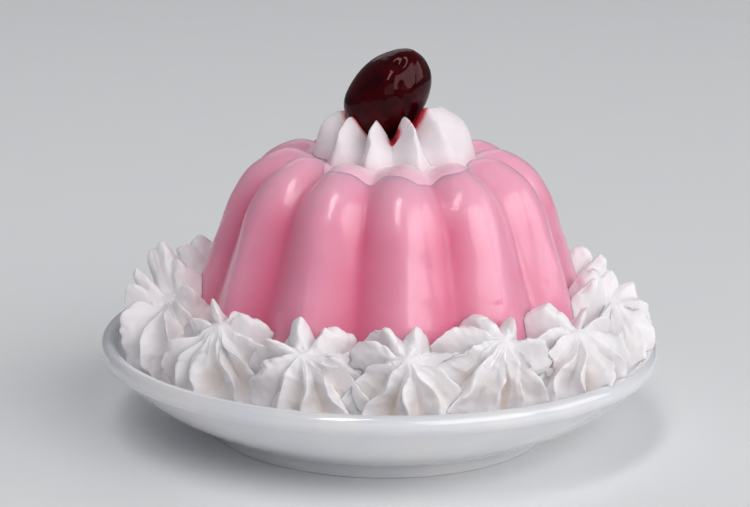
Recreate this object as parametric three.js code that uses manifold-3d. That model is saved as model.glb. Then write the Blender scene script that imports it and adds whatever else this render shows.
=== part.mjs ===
// A fluted milk jelly turned out on a footed saucer, ringed with piped rosettes of whipped cream and
// topped with one larger rosette that holds a preserved fruit. Millimetres, +Z up.
// The origin is on the table under the middle of the saucer's foot. A plan angle is measured at the
// saucer's middle from the front (-Y) towards the right (+X).
import * as THREE from "three";
import { ParametricGeometry } from "three/addons/geometries/ParametricGeometry.js";
import { mergeVertices } from "three/addons/utils/BufferGeometryUtils.js";
import Module from "manifold-3d";

const wasm = await Module();
wasm.setup();

// ---- driving dimensions -------------------------------------------------------------------------

const GAP = 0.3; // left between pieces that touch
const WELD = 1e-4; // vertices closer than this are one vertex

const PLATE_SIDES = 54;
const FOOT_OUTER = 47.3;
const FOOT_INNER = 42;
const FOOT_HIGH = 3.5;
const RIM_RADIUS = 77.5;
const RIM_HIGH = 23.7; // height at which the rim is widest
const LIP_WIDE = 2.2; // half the thickness of the rounded rim
const LIP_TALL = 2.7; // half its height
const WELL_FLOOR = 6.6; // top of the saucer's flat well
const WELL_RADIUS = 44;

const JELLY_X = 2.7; // the jelly stands a little right of the saucer's middle
const LOBES = 12;
const LOBE_TURN = 4.5; // plan angle of the first lobe's crest, degrees
const LOBE_SIDES = 6; // facets to a lobe
const GROOVE_DEEP = 3.7;
const GROOVE_FADE = 0.12; // share of the wall's length in which the grooves run out into the dish
const GROOVE_SOFT = 0.14; // how round the bottom of a groove is, as a share of half a lobe
const CREST_POWER = 1.75; // 2 is a round lobe, less gives it a slight peak
const JELLY_ROWS = 14;
const UNDERSIDE_RING = 0.75; // where the underside has a row of its own, as a share of its radius
const JELLY_DISH = 76.2; // height of the shallow dish inside the ring of lobes
// The wall along a lobe's crest, from the foot up and over into the dish, as [radius, height].
const JELLY_WALL = [
  [57.6, 12],
  [55.9, 27],
  [53.4, 39],
  [50.5, 48.5],
  [47.4, 57],
  [44.4, 65],
  [40.3, 71.8],
  [35.6, 75.8],
  [30.3, 78.2],
  [26.5, 78.3],
  [23, 77.2],
  [19.5, JELLY_DISH],
];

// One rosette, as shares of its size. The ridge of a blade and the valley between two blades run from
// the foot's edge over the tip to the middle, as [distance from the axis, height above the middle].
// A ridge's third number says how much of its blade's own height it takes.
const RING_RIDGE = [
  [0.9, -1.25, 0],
  [1.04, -0.85, 0],
  [1.05, -0.4, 0.1],
  [0.86, -0.05, 0.5],
  [0.56, 0, 1],
  [0, 0, 0],
];
const RING_VALLEY = [
  [0.72, -1.25],
  [0.76, -0.85],
  [0.68, -0.52],
  [0.46, -0.22],
  [0.25, -0.08],
  [0, 0],
];
const TOP_RIDGE = [
  [1.08, -0.24, 0],
  [1.02, -0.04, 0],
  [0.96, 0.12, 0.2],
  [0.8, 0.12, 0.65],
  [0.54, 0, 1],
  [0.34, 0, 0.4],
  [0, 0, 0],
];
const TOP_VALLEY = [
  [1.0, -0.26],
  [0.8, -0.14],
  [0.66, 0.02],
  [0.5, 0.1],
  [0.36, 0.11],
  [0.2, 0.05],
  [0, 0],
];
const BLADE_SIDES = 4; // facets round one blade
const TWIST_FROM = 0.2; // the stretch of a profile in which a blade turns, as shares of its length
const TWIST_TO = 0.8;
const SHARP = 1.35; // over 1 hollows a blade's faces up to a sharp ridge
const BLUNT = 0.6; // under 1 fills them up to a flat one

// The ring. Each rosette: its plan angle, distance out, height of its middle, size, lean outwards and
// blades. A blade: its angle round the rosette, where 0 points away from the jelly, how high its tip
// rises as a share of the size, from 0 to 1 how blunt it is, and how far its tip turns past its foot.
// Lengths in mm, angles in degrees.
const RING_X = 3.2;
const RING = [
  {
    at: -20.5, out: 61, high: 36.8, size: 17.5, lean: 32,
    blades: [
      [-142, 0.18], [-95, 0.3, 0, 10], [-58, 0.05, 0.5], [-22, -0.05],
      [8, -0.05], [45, 0.05, 0, -12], [100, 0], [172, 0.1, 0.6],
    ],
  },
  {
    at: 4, out: 61, high: 37.4, size: 17.5, lean: 32,
    blades: [
      [-143, 0.14, 0.6], [-98, 0.3], [-60, 0.1, 0.5], [-18, 0],
      [14, 0.1, 0, -8], [50, 0, 0, -12], [103, 0.02], [164, 0.08],
    ],
  },
  {
    at: 27, out: 61, high: 38.8, size: 17.5, lean: 30,
    blades: [
      [-154, 0.15, 0.8], [-110, 0.05], [-68, 0.1], [-25, 0, 0, 12],
      [10, 0.05, 0.5], [45, 0.05], [80, 0.12], [142, 0.1],
    ],
  },
  {
    at: 51, out: 61, high: 38, size: 17.5, lean: 28,
    blades: [
      [-157, 0.14, 0.8], [-110, 0.05], [-62, 0.1], [-20, 0],
      [20, 0.1, 0, 10], [60, 0.12], [105, 0.15], [151, 0.14],
    ],
  },
  {
    at: 80, out: 61, high: 38, size: 16.5, lean: 28,
    blades: [
      [-165, 0.6], [-100, 0.3], [-52, 0.15, 0.4], [-10, 0.1],
      [30, 0.2], [68, 0.32], [102, 0.45], [145, 0.6],
    ],
  },
  ringStar(108, 0.62, 12),
  ringStar(137, 0.4, 30),
  ringStar(166, 0.35, 5),
  ringStar(195, 0.35, 22),
  ringStar(223, 0.4, 10),
  ringStar(252, 0.65, 34),
  {
    at: -79, out: 61, high: 39, size: 16.5, lean: 26,
    blades: [
      [-128, 0.86, 1], [-84, 0.62], [-48, 0.55], [-12, 0.35],
      [25, 0.2, 0.5], [62, 0.2], [105, 0.25], [160, 0.5],
    ],
  },
  {
    at: -48, out: 61, high: 36.5, size: 17.5, lean: 30,
    blades: [
      [-129, 0.28], [-70, 0.05, 0.5], [-28, 0], [8, 0, 0, 10],
      [45, 0.08], [80, 0.15], [116, 0.42, 0.5], [155, 0.05],
    ],
  },
];

const TOP = {
  x: 3, y: -2.5, high: 80.5, size: 23.5,
  blades: [
    [-92, 0.38], [-46, 0.37, 0, -30], [-13, 0.34, 0, -10], [18, 0.37, 0, -3], [80, 0.5],
    [122, 0.48], [156, 0.44], [-164, 0.4], [-128, 0.38],
  ],
};

const FRUIT = { x: 1.6, y: -2, high: 93.5, wide: 9.8, tall: 13.1, taper: 0.1, lean: 34 };
const FRUIT_SIDES = 20;
const FRUIT_ROWS = 11;

// ---- solids -------------------------------------------------------------------------------------

/** A closed geometry with its shared vertices merged and its flat triangles gone. */
function weld(geometry) {
  const bare = new THREE.BufferGeometry();
  bare.setAttribute("position", geometry.getAttribute("position").clone());
  if (geometry.index) {
    bare.setIndex(geometry.index.clone());
  }
  const merged = mergeVertices(bare, WELD);
  const corners = merged.index.array;
  const kept = [];
  for (let i = 0; i < corners.length; i += 3) {
    const [a, b, c] = corners.slice(i, i + 3);
    if (a !== b && b !== c && c !== a) {
      kept.push(a, b, c);
    }
  }
  merged.setIndex(kept);
  return merged;
}

function solidOf(geometry) {
  const closed = weld(geometry);
  const mesh = new wasm.Mesh({
    numProp: 3,
    vertProperties: new Float32Array(closed.getAttribute("position").array),
    triVerts: new Uint32Array(closed.index.array),
  });
  return new wasm.Manifold(mesh);
}

function geometryOf(solid) {
  const { vertProperties, triVerts } = solid.getMesh();
  const geometry = new THREE.BufferGeometry();
  geometry.setAttribute("position", new THREE.BufferAttribute(vertProperties, 3));
  geometry.setIndex(new THREE.BufferAttribute(triVerts, 1));
  return weld(geometry);
}

/** The largest of the bodies that a cut leaves, so that no loose scrap stays. */
function mainBody(solid) {
  const bodies = solid.decompose();
  return bodies.reduce((best, body) => (body.volume() > best.volume() ? body : best));
}

/** The geometry with every vertex pushed out along its normal. */
function grown(geometry, distance) {
  const thick = weld(geometry);
  thick.computeVertexNormals();
  const position = thick.getAttribute("position");
  const normal = thick.getAttribute("normal");
  for (let i = 0; i < position.count; i += 1) {
    position.setXYZ(
      i,
      position.getX(i) + distance * normal.getX(i),
      position.getY(i) + distance * normal.getY(i),
      position.getZ(i) + distance * normal.getZ(i),
    );
  }
  thick.deleteAttribute("normal");
  return thick;
}

const curveOf = (points) => new THREE.SplineCurve(points.map(([r, z]) => new THREE.Vector2(r, z)));
const radians = THREE.MathUtils.degToRad;

/** A repeatable draw from 0 to 1 for a pair of whole numbers. */
function draw(a, b) {
  const wave = Math.sin(a * 12.9898 + b * 78.233) * 43758.5453;
  return wave - Math.floor(wave);
}

// ---- saucer -------------------------------------------------------------------------------------

/** The saucer's inner face, from the middle of the well out to the lip, as [radius, height]. */
function wellFace() {
  const slope = curveOf([
    [WELL_RADIUS, WELL_FLOOR],
    [52, 10],
    [63, 16.6],
    [RIM_RADIUS - 2 * LIP_WIDE, RIM_HIGH - 0.4],
  ]);
  return [[0, WELL_FLOOR], ...slope.getPoints(4).map((p) => [p.x, p.y])];
}

/** The height of the saucer's inner face at a distance from its middle. */
function wellHeight(distance) {
  const face = wellFace();
  const outer = Math.max(1, face.findIndex(([r]) => r >= distance));
  const [[r0, z0], [r1, z1]] = [face[outer - 1], face[outer]];
  return THREE.MathUtils.mapLinear(distance, r0, r1, z0, z1);
}

/** Points round the lip's section, pushed out by spread, from the outer edge at 0 degrees over its top. */
function lipPoints(angles, spread = 0) {
  return angles.map((degrees) => [
    RIM_RADIUS - LIP_WIDE + (LIP_WIDE + spread) * Math.cos(radians(degrees)),
    RIM_HIGH + (LIP_TALL + spread) * Math.sin(radians(degrees)),
  ]);
}

function plateGeometry() {
  const underside = [
    [0, 3],
    [FOOT_INNER - 2, 3],
    [FOOT_INNER, 0],
    [FOOT_OUTER - 0.4, 0],
    [FOOT_OUTER, 0.6],
    [FOOT_OUTER + 0.5, FOOT_HIGH],
    [55, 6.4],
    [66, 12.6],
  ];
  const lip = lipPoints([-40, 10, 60, 110, 160]);
  const outline = [...underside, ...lip, ...wellFace().reverse()];
  const lathe = new THREE.LatheGeometry(
    outline.map(([r, z]) => new THREE.Vector2(r, z)),
    PLATE_SIDES,
  );
  return weld(lathe.rotateX(Math.PI / 2));
}

/** What no food may reach into: the saucer, everything under it and outside its rim. */
function plateKeepOut() {
  const far = 130;
  const top = RIM_HIGH + LIP_TALL + GAP;
  const face = wellFace().map(([r, z]) => [r, z + GAP]);
  const outline = [[0, -far], [far, -far], [far, top], ...lipPoints([70, 110, 160], GAP), ...face.reverse()];
  const lathe = new THREE.LatheGeometry(
    outline.map(([r, z]) => new THREE.Vector2(r, z)),
    PLATE_SIDES,
  );
  return solidOf(lathe.rotateX(Math.PI / 2));
}

// ---- jelly --------------------------------------------------------------------------------------

/** How far a lobe stands out, from 0 in the groove to 1 on the crest. */
function lobeShare(acrossLobe) {
  const fromGroove = 1 - Math.abs(acrossLobe);
  const soft = Math.hypot(fromGroove, GROOVE_SOFT) - GROOVE_SOFT;
  const full = Math.hypot(1, GROOVE_SOFT) - GROOVE_SOFT;
  return 1 - (1 - soft / full) ** CREST_POWER;
}

/** The jelly's skin, pushed out by spread. Its underside lies in the saucer. */
function jellyGeometry(spread = 0) {
  const wall = curveOf(JELLY_WALL);
  const point = (u, v, target) => {
    const lobe = u * LOBES;
    const across = 2 * (lobe - Math.floor(lobe)) - 1;
    const angle = radians(LOBE_TURN) + ((lobe - 0.5) * 2 * Math.PI) / LOBES;
    const row = Math.min(Math.round(v * JELLY_ROWS), JELLY_ROWS);
    const along = THREE.MathUtils.clamp((row - 2) / (JELLY_ROWS - 3), 0, 1);
    const at = wall.getPointAt(along);
    const way = wall.getTangentAt(along);
    const fade = THREE.MathUtils.smoothstep(1 - along, 0, GROOVE_FADE);
    const inwards = GROOVE_DEEP * fade * (1 - lobeShare(across)) - spread;
    const middle = row === 0 || row === JELLY_ROWS;
    const r = middle ? 0 : (at.x - inwards * way.y) * (row === 1 ? UNDERSIDE_RING : 1);
    const x = JELLY_X + r * Math.sin(angle);
    const y = -r * Math.cos(angle);
    const z = row < 3 ? wellHeight(Math.hypot(x, y)) + GAP - spread : at.y + inwards * way.x;
    target.set(x, y, middle && row > 0 ? JELLY_DISH + spread : z);
  };
  return weld(new ParametricGeometry(point, LOBES * LOBE_SIDES, JELLY_ROWS));
}

// ---- whipped cream ------------------------------------------------------------------------------

/** A rosette of the ring that no named blades describe: they stand evenly, taller by the jelly. */
function ringStar(at, rise, turn) {
  const blades = [0, 1, 2, 3, 4, 5, 6, 7].map((k) => {
    const angle = turn + 45 * k + 14 * (draw(at, k) - 0.5);
    const back = 0.5 - 0.5 * Math.cos((angle * Math.PI) / 180);
    return [angle, rise * back * (0.8 + 0.4 * draw(at + 1, k)), Math.round(draw(at + 2, k))];
  });
  return { at, out: 61, high: 38, size: 17, lean: 27, blades };
}

/**
 * A piped star: blades round an axis, each with a ridge of its own, and valleys between them. A
 * blade's face runs from the valley up to the ridge, hollow on a sharp blade and full on a blunt one.
 */
function starGeometry(star, ridgePoints, valleyPoints) {
  const count = star.blades.length;
  const blades = [...star.blades].sort((a, b) => a[0] - b[0]);
  const ridges = blades.map(([, tall]) =>
    curveOf(ridgePoints.map(([r, height, lift]) => [r, height + lift * tall])),
  );
  const valley = curveOf(valleyPoints);
  const angleOf = (k, turned) => {
    const [angle, , , twist = 0] = blades[(k + count) % count];
    return angle + twist * turned + 360 * Math.floor(k / count);
  };
  const rows = ridgePoints.length;
  const point = (u, v, target) => {
    const column = Math.round(u * count * BLADE_SIDES) % (count * BLADE_SIDES);
    const k = Math.floor(column / BLADE_SIDES);
    const side = 2 * (column / BLADE_SIDES - k); // 0 and 2 are valleys, 1 is the ridge
    const share = 1 - Math.abs(side - 1);
    const out = share ** THREE.MathUtils.lerp(SHARP, BLUNT, blades[k][2] ?? 0);
    const row = Math.min(Math.round(v * rows), rows);
    const along = Math.max(row - 1, 0) / (rows - 1);
    const high = ridges[k].getPoint(along);
    const low = valley.getPoint(along);
    const r = row === 0 ? 0 : THREE.MathUtils.lerp(low.x, high.x, out);
    const z = THREE.MathUtils.lerp(low.y, high.y, out);
    const turned = THREE.MathUtils.smoothstep(along, TWIST_FROM, TWIST_TO);
    const neighbour = side < 1 ? k - 1 : k + 1;
    const angle = radians(
      THREE.MathUtils.lerp(angleOf(neighbour, turned), angleOf(k, turned), (1 + share) / 2),
    );
    target.set(r * Math.sin(angle), -r * Math.cos(angle), row === 0 ? valleyPoints[0][1] : z);
    target.multiplyScalar(star.size);
  };
  return weld(new ParametricGeometry(point, count * BLADE_SIDES, rows));
}

function ringStarGeometry(star) {
  return starGeometry(star, RING_RIDGE, RING_VALLEY)
    .rotateX(radians(star.lean))
    .translate(0, -star.out, star.high)
    .rotateZ(radians(star.at))
    .translate(RING_X, 0, 0);
}

// ---- fruit --------------------------------------------------------------------------------------

function fruitGeometry(spread = 0) {
  const point = (u, v, target) => {
    const around = 2 * Math.PI * u;
    const up = Math.PI * (v - 0.5);
    const crease = 1 - 0.08 * Math.max(0, Math.cos(around + 0.5)) ** 12 * Math.cos(up);
    const r = (FRUIT.wide + spread) * Math.cos(up) * (1 - FRUIT.taper * Math.sin(up)) * crease;
    target.set(r * Math.sin(around), -r * Math.cos(around), (FRUIT.tall + spread) * Math.sin(up));
  };
  return weld(new ParametricGeometry(point, FRUIT_SIDES, FRUIT_ROWS))
    .rotateY(radians(FRUIT.lean))
    .translate(FRUIT.x, FRUIT.y, FRUIT.high);
}

// ---- assembly -----------------------------------------------------------------------------------

const finishes = {
  porcelain: new THREE.MeshStandardMaterial({ color: 0xf3f3f5, roughness: 0.12, metalness: 0 }),
  jelly: new THREE.MeshStandardMaterial({ color: 0xeb9bb4, roughness: 0.25, metalness: 0 }),
  cream: new THREE.MeshStandardMaterial({ color: 0xf7f2ee, roughness: 0.55, metalness: 0 }),
  fruit: new THREE.MeshStandardMaterial({ color: 0x4a0a14, roughness: 0.15, metalness: 0 }),
};

const dessert = new THREE.Group();

function add(name, geometry, finish) {
  const mesh = new THREE.Mesh(geometry, finish);
  mesh.name = name;
  dessert.add(mesh);
}

const keepOut = plateKeepOut();
add("plate", plateGeometry(), finishes.porcelain);

add("jelly", jellyGeometry(), finishes.jelly);

const noJelly = solidOf(jellyGeometry(GAP));
const stars = RING.map(ringStarGeometry);
RING.forEach((star, i) => {
  let cream = solidOf(stars[i]).subtract(keepOut).subtract(noJelly);
  const earlier = [i - 1, (i + 1) % RING.length].filter((j) => j >= 0 && j < i);
  for (const j of earlier) {
    cream = cream.subtract(solidOf(grown(stars[j], GAP)));
  }
  const name = `cream_ring_${String(i + 1).padStart(2, "0")}`;
  add(name, geometryOf(mainBody(cream)), finishes.cream);
});

const topStar = starGeometry(TOP, TOP_RIDGE, TOP_VALLEY).translate(TOP.x, TOP.y, TOP.high);
const topCream = solidOf(topStar).subtract(noJelly).subtract(solidOf(fruitGeometry(GAP)));
add("cream_top", geometryOf(mainBody(topCream)), finishes.cream);
add("fruit", fruitGeometry(), finishes.fruit);

export default dessert;
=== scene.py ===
"""A fluted milk jelly turned out on a footed saucer, ringed with piped rosettes of whipped cream and
topped with one larger rosette that holds a preserved fruit.

Sizes and places are in millimetres and degrees until a mesh is made. The origin is on the table under
the middle of the saucer's foot, with +Z up. A plan angle is measured at the saucer's middle from the
front (-Y) towards the right (+X).
"""
import math

import bmesh
import bpy
import numpy as np
from mathutils import Matrix, Vector
from mathutils.bvhtree import BVHTree


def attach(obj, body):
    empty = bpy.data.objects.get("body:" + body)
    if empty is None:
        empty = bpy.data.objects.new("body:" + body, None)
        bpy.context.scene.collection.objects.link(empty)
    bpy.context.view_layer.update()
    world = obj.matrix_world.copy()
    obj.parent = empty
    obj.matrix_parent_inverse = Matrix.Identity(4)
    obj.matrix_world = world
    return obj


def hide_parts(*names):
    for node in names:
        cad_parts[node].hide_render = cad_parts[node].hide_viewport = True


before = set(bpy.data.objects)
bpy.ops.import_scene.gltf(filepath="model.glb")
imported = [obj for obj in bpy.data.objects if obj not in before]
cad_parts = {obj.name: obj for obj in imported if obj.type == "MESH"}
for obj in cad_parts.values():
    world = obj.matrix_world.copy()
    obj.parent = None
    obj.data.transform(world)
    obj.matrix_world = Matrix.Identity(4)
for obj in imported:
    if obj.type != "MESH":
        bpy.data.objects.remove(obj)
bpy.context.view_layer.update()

MM = 0.001
CONTACT = 0.05  # left between pieces that touch

# ---- saucer ----
PLATE_SIDES = 216
FOOT_OUTER = 47.3
FOOT_INNER = 42
FOOT_HIGH = 3.5
FOOT_SOFT = 0.6  # radius of the foot ring's edges
BARE_HIGH = 0.12  # the foot ring has no glaze below this height
RECESS_HIGH = 3  # height of the underside inside the foot ring
RECESS_SOFT = 1.2  # radius of the recess's edge
BELLY = [(55, 6.4), (66, 12.6)]  # the underside between foot ring and lip, as (radius, height)
RIM_RADIUS = 77.5
RIM_HIGH = 23.7  # height at which the rim is widest
LIP_WIDE = 2.2  # half the thickness of the rounded rim
LIP_TALL = 2.7  # half its height
WELL_FLOOR = 6.6  # top of the flat well
# The well's side, from the flat up to the lip, as (radius, height).
WELL_SLOPE = [(44, WELL_FLOOR), (52, 10), (63, 16.6), (RIM_RADIUS - 2 * LIP_WIDE, RIM_HIGH - 0.4)]

# ---- jelly ----
JELLY_X = 2.7  # it stands a little right of the saucer's middle
LOBES = 12
LOBE_TURN = 4.5  # plan angle of the first lobe's crest
LOBE_COLUMNS = 36
GROOVE_DEEP = 3.7
GROOVE_FADE = 0.12  # share of the wall's length in which the grooves run out into the dish
GROOVE_SOFT = 0.14  # how round the bottom of a groove is, as a share of half a lobe
CREST_POWER = (1.35, 2)  # on the wall and on the shoulder: 2 is a round lobe, 1 has two flat faces
SHOULDER = (0.45, 0.72)  # the wall turns into the shoulder between these shares of its length
JELLY_ROWS = 190
JELLY_DISH = 76.2  # height of the shallow dish inside the ring of lobes
# The wall along a lobe's crest, from the foot up and over into the dish, as (radius, height).
JELLY_WALL = [
    (57.6, 12), (55.9, 27), (53.4, 39), (50.5, 48.5), (47.4, 57), (44.4, 65),
    (40.3, 71.8), (35.6, 75.8), (30.3, 78.2), (26.5, 78.3), (23, 77.2), (19.5, JELLY_DISH),
]
# Small bubbles and blemishes in the skin: plan angle, height, radius and depth.
PITS = [
    (33, 46, 0.9, 0.25), (38, 33, 1.1, 0.22), (41, 38, 0.7, 0.2), (46, 42, 0.8, 0.22),
    (52, 36, 1.0, 0.25), (29, 34, 0.6, 0.18), (20, 41, 0.7, 0.18), (57, 48, 0.8, 0.2),
    (-15, 40, 0.6, 0.15), (-37, 52, 0.7, 0.18), (12, 56, 0.6, 0.15), (66, 40, 0.9, 0.2),
    (100, 44, 0.8, 0.2), (128, 37, 0.9, 0.22), (160, 50, 0.8, 0.2), (190, 39, 1.0, 0.2),
    (215, 47, 0.7, 0.2), (244, 40, 0.9, 0.22), (275, 51, 0.8, 0.2), (300, 36, 0.7, 0.18),
]
PIT_SHARE = 0.75  # scales every pit's depth

# ---- whipped cream ----
# One rosette, as shares of its size. The ridge of a blade and the valley between two blades run from
# the foot's edge over the tip to the middle, as (distance from the axis, height above the middle).
# A ridge's third number says how much of its blade's rise and reach it takes.
RING_RIDGE = [
    (0.97, -1.25, 0), (0.95, -0.95, 0), (0.82, -0.6, 0.25), (0.64, -0.32, 0.65),
    (0.44, -0.1, 1), (0.26, -0.02, 0.6), (0.12, 0.02, 0.1), (0, 0.05, 0),
]
RING_VALLEY = [
    (0.72, -1.25), (0.72, -1), (0.57, -0.78), (0.42, -0.55), (0.3, -0.32), (0.2, -0.12),
    (0.1, 0.01), (0, 0.05),
]
RING_WIDE = 1.2  # a rosette of the ring is this much wider than deep
TOP_RIDGE = [
    (1.06, -0.3, 0), (0.99, -0.04, 0), (0.88, 0.08, 0.27), (0.7, 0.08, 0.62),
    (0.46, 0, 1), (0.25, 0, 0.5), (0, 0, 0),
]
TOP_VALLEY = [
    (0.92, -0.3), (0.82, -0.24), (0.67, -0.14), (0.5, -0.05), (0.34, -0.02), (0.18, 0), (0, 0),
]
BLADE_COLUMNS = 30
STAR_ROWS = 96
TEAR_EDGE = (0.15, 0.4, 0.78, 0.97)  # where a ridge tears, as shares of the profile's length
TIP_SKEW = 10  # the tip of a torn blade turns by up to this many degrees either way
CROWDING = 1.5  # over 1 crowds the columns at a blade's ridge
RIDGE_SOFT = 0.07  # how round a ridge is, as a share of half a blade
TWIST_FROM = 0.3  # the stretch of a profile in which a blade turns, as shares of its length
TWIST_TO = 0.85
SHARP = 1.8  # over 1 hollows a sharp blade's faces
# Seeds of the random draws. A rosette of the ring adds its number.
BLADE_SEED = 100
SOFT_SEED = 200
CREASE_SEED = 300
TOP_BLADE_SEED = 77
TOP_SOFT_SEED = 78

# A blade has six values: its angle round the rosette, where 0 points away from the jelly, how high it
# rises as a share of the size, how far its upper part reaches out as a share of the profile's, how far
# its tip turns past its foot, from 0 to 1 how blunt it is, and from 0 to 1 how full the valley after it
# is. Values that a blade leaves out are those of COMMON_BLADE, and its None is a random draw.
COMMON_BLADE = (0, 0, 1, 0, 0, None)
RING_X = 3.2  # the ring's middle is a little right of the saucer's


def draw(a, b):
    """A repeatable draw from 0 to 1 for a pair of whole numbers."""
    wave = math.sin(a * 12.9898 + b * 78.233) * 43758.5453
    return wave - math.floor(wave)


def ring_star(at, rise, turn):
    """A rosette of the ring with nine even blades, taller by the jelly. Turn is the first one's angle."""
    blades = []
    for k in range(9):
        angle = turn + 40 * k + 16 * (draw(at, k) - 0.5)
        back = 0.5 - 0.5 * math.cos(math.radians(angle))
        tall = rise * back * (0.8 + 0.4 * draw(at + 1, k))
        blunt = 1 if draw(at + 2, k) >= 0.6 else 0.4
        reach = 0.95 + 0.4 * draw(at + 4, k)
        twist = 16 * (draw(at + 5, k) - 0.5)
        blades.append((angle, tall, reach, twist, blunt))
    return dict(at=at, out=61, high=37.5, size=17.5, lean=28, blades=blades)


# The ring's rosettes: plan angle, distance out, height of the middle, size, lean outwards and blades.
RING = [
    dict(at=-20.5, out=61, high=36.8, size=17.5, lean=32, blades=[
        (-146, 0.4, 1, 0, 0.6, 0.3), (-90, 0.38, 1.15), (-55, 0.12, 1.3, 0, 1), (-20, 0, 1.15),
        (10, -0.03, 1.1), (42, 0, 1.1, -8), (70, 0.03, 1, -10), (105, 0.1, 1.1),
        (153, 0.3, 1.05, 0, 0.6),
    ]),
    dict(at=4, out=61, high=37.4, size=17.5, lean=32, blades=[
        (-139, 0.34, 1.1, 0, 0.6), (-106, 0.24, 1.35), (-72, 0.06, 0.92), (-40, 0, 1),
        (-6, 0, 1.1, 10), (30, 0.03, 1.1, -10), (62, 0.05, 1.1), (100, 0.1, 1.15),
        (162, 0.36, 0.8, 0, 0.5),
    ]),
    dict(at=27, out=61, high=38.8, size=17.5, lean=30, blades=[
        (-162, 0.28, 1.2, 0, 0.8), (-122, 0.2, 1.5), (-87, 0.1, 1.3), (-55, 0.03, 1.1),
        (-22, 0, 1.1, 10), (8, 0, 1.1), (40, 0.05, 1.1, -8), (75, 0.26, 1.1, 0, 0.5),
        (143, 0.35, 0.8, 0, 0.4),
    ]),
    dict(at=51, out=62, high=38, size=18, lean=21, blades=[
        (-165, 0.3, 1.4, 0, 1), (-115, 0.12, 1.2), (-86, 0.03, 1.2), (-58, 0, 1.2, 8),
        (-30, 0, 1.4), (-4, 0, 1.5), (24, 0.05, 1.5), (52, 0.15, 1.3), (84, 0.26, 1.1), (130, 0.3),
    ]),
    dict(at=79, out=61.5, high=38, size=18.5, lean=19, blades=[
        (-140, 0.5, 1.3, 0, 0.8), (-98, 0.3, 1.1), (-62, 0.05, 1.2, 0, 0, 0.4),
        (-30, 0.03, 1.3, 0, 0, 0.5), (2, 0.12, 1.3, 0, 0.3, 0.6), (32, 0.25, 1.25, 0, 0.5, 0.75),
        (70, 0.38, 1.15, 0, 0.5, 0.8), (110, 0.45, 1.1, 0, 0.7, 0.8), (155, 0.48, 1.2, 0, 0.8, 0.6),
    ]),
    dict(at=108, out=61, high=37.5, size=17.5, lean=28, blades=[
        (-175, 0.56, 1.15, 0, 1, 0.6), (-130, 0.54, 1.1, 0, 1, 0.9), (-88, 0.4, 1, 0, 0.5, 0.7),
        (-45, 0.2, 1.1, 0, 0.4), (-5, 0.1, 1.2), (38, 0.12, 1.2, 8), (80, 0.25, 1.1, 0, 0.5),
        (118, 0.35, 1.1, 0, 0.5), (152, 0.42, 1, 0, 0.7),
    ]),
    ring_star(137, 0.45, 30),
    ring_star(166, 0.4, 5),
    ring_star(195, 0.4, 22),
    ring_star(223, 0.45, 10),
    dict(at=252, out=61, high=37.5, size=17.5, lean=28, blades=[
        (-150, 0.42, 1, 0, 0.7), (-115, 0.35, 1.1, 0, 0.5), (-78, 0.25, 1.1, 0, 0.5),
        (-38, 0.12, 1.2, -8), (5, 0.1, 1.2), (45, 0.2, 1.1, 0, 0.4), (88, 0.42, 1, 0, 0.5, 0.7),
        (130, 0.56, 1.1, 0, 1, 0.9), (175, 0.58, 1.15, 0, 1, 0.6),
    ]),
    dict(at=-79, out=62.5, high=37, size=18.5, lean=22, blades=[
        (-158, 0.6, 1, 0, 1, 0.85), (-126, 0.84, 1.1, 0, 1, 0.97), (-94, 0.78, 1.1, 0, 1, 0.5),
        (-48, 0.66, 1, 0, 0.5, 0.5), (-8, 0.58, 1, 0, 0.4, 0.3), (22, 0.35, 1.5, 0, 0.8),
        (52, 0, 1.9), (82, 0.05, 1.6), (112, 0.15), (150, 0.3),
    ]),
    dict(at=-48, out=61, high=36.6, size=17.5, lean=30, blades=[
        (-138, 0.42, 0.9, 0, 0.6, 0.3), (-85, 0.28, 1.25), (-45, 0.16, 1.6, 0, 0.7),
        (-28, 0.02, 1.4), (-2, 0, 1.2), (46, 0, 1.1), (72, 0.02, 1, -8), (110, 0.08, 1.1),
        (145, 0.25, 1.1, 0, 1), (182, 0.12),
    ]),
]

# The top rosette: at counts only for its draws, and its blades' angles are plan angles round its middle.
TOP = dict(at=0, x=3.2, y=-2.5, high=80.5, size=22, blades=[
    (-92, 0.38, 1.25, 0, 0.75, 0), (-48, 0.37, 1.15, -27, 0.65, 0.05),
    (-20, 0.35, 1, -12, 0.5, 0.22), (17, 0.4, 1, -2, 0.4, 0.2), (47, 0.49, 1, 0, 1, 1),
    (82, 0.47, 1.1, 0, 1, 0.6), (126, 0.4, 1, 0, 0.5, 0), (160, 0.4, 1, 0, 0.4, 0),
    (-162, 0.4, 1, 0, 0.5, 0), (-132, 0.38, 1, 0, 0.5, 0),
])
# Where the fruit's juice has run into the top rosette, seen from the front: both ends of each run as
# (x, height), and its half width.
JUICE = [((3.1, 85.5), (2.9, 82.6), 1.5), ((10.5, 92), (8, 86.8), 1.4)]
JUICE_SOAK = 1.9  # how far it soaks into the cream round the fruit
# The edge of the cream that has gone soft on the jelly: its angle round the top rosette and its distance
# from that rosette's middle.
PUDDLE = [
    (-180, 19), (-120, 19), (-75, 19), (-60, 20), (-49, 25), (-40, 28), (-31.6, 30.4),
    (-24.4, 29.9), (-19, 28.8), (-15, 29.3), (-11.7, 27.6), (-6, 27.6), (-1, 29.9), (3, 30.5),
    (6.4, 31.2), (9, 32.2), (11.2, 32.6), (15.3, 29.8), (20, 27.6), (25, 27.3), (31, 29.6),
    (36, 30), (45, 27.5), (55, 23.5), (70, 20), (90, 19), (130, 19),
]
PUDDLE_THICK = 0.7
PUDDLE_SUNK = 0.4  # how far its underside lies inside the jelly
PUDDLE_FROM = 14  # distance of its hidden inner edge
PUDDLE_DRIPS = (-15, 10)  # angles at which it is thicker
PUDDLE_COLUMNS = 300
PUDDLE_ROWS = 34
ABOVE_ALL = 120  # a height over everything

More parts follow.
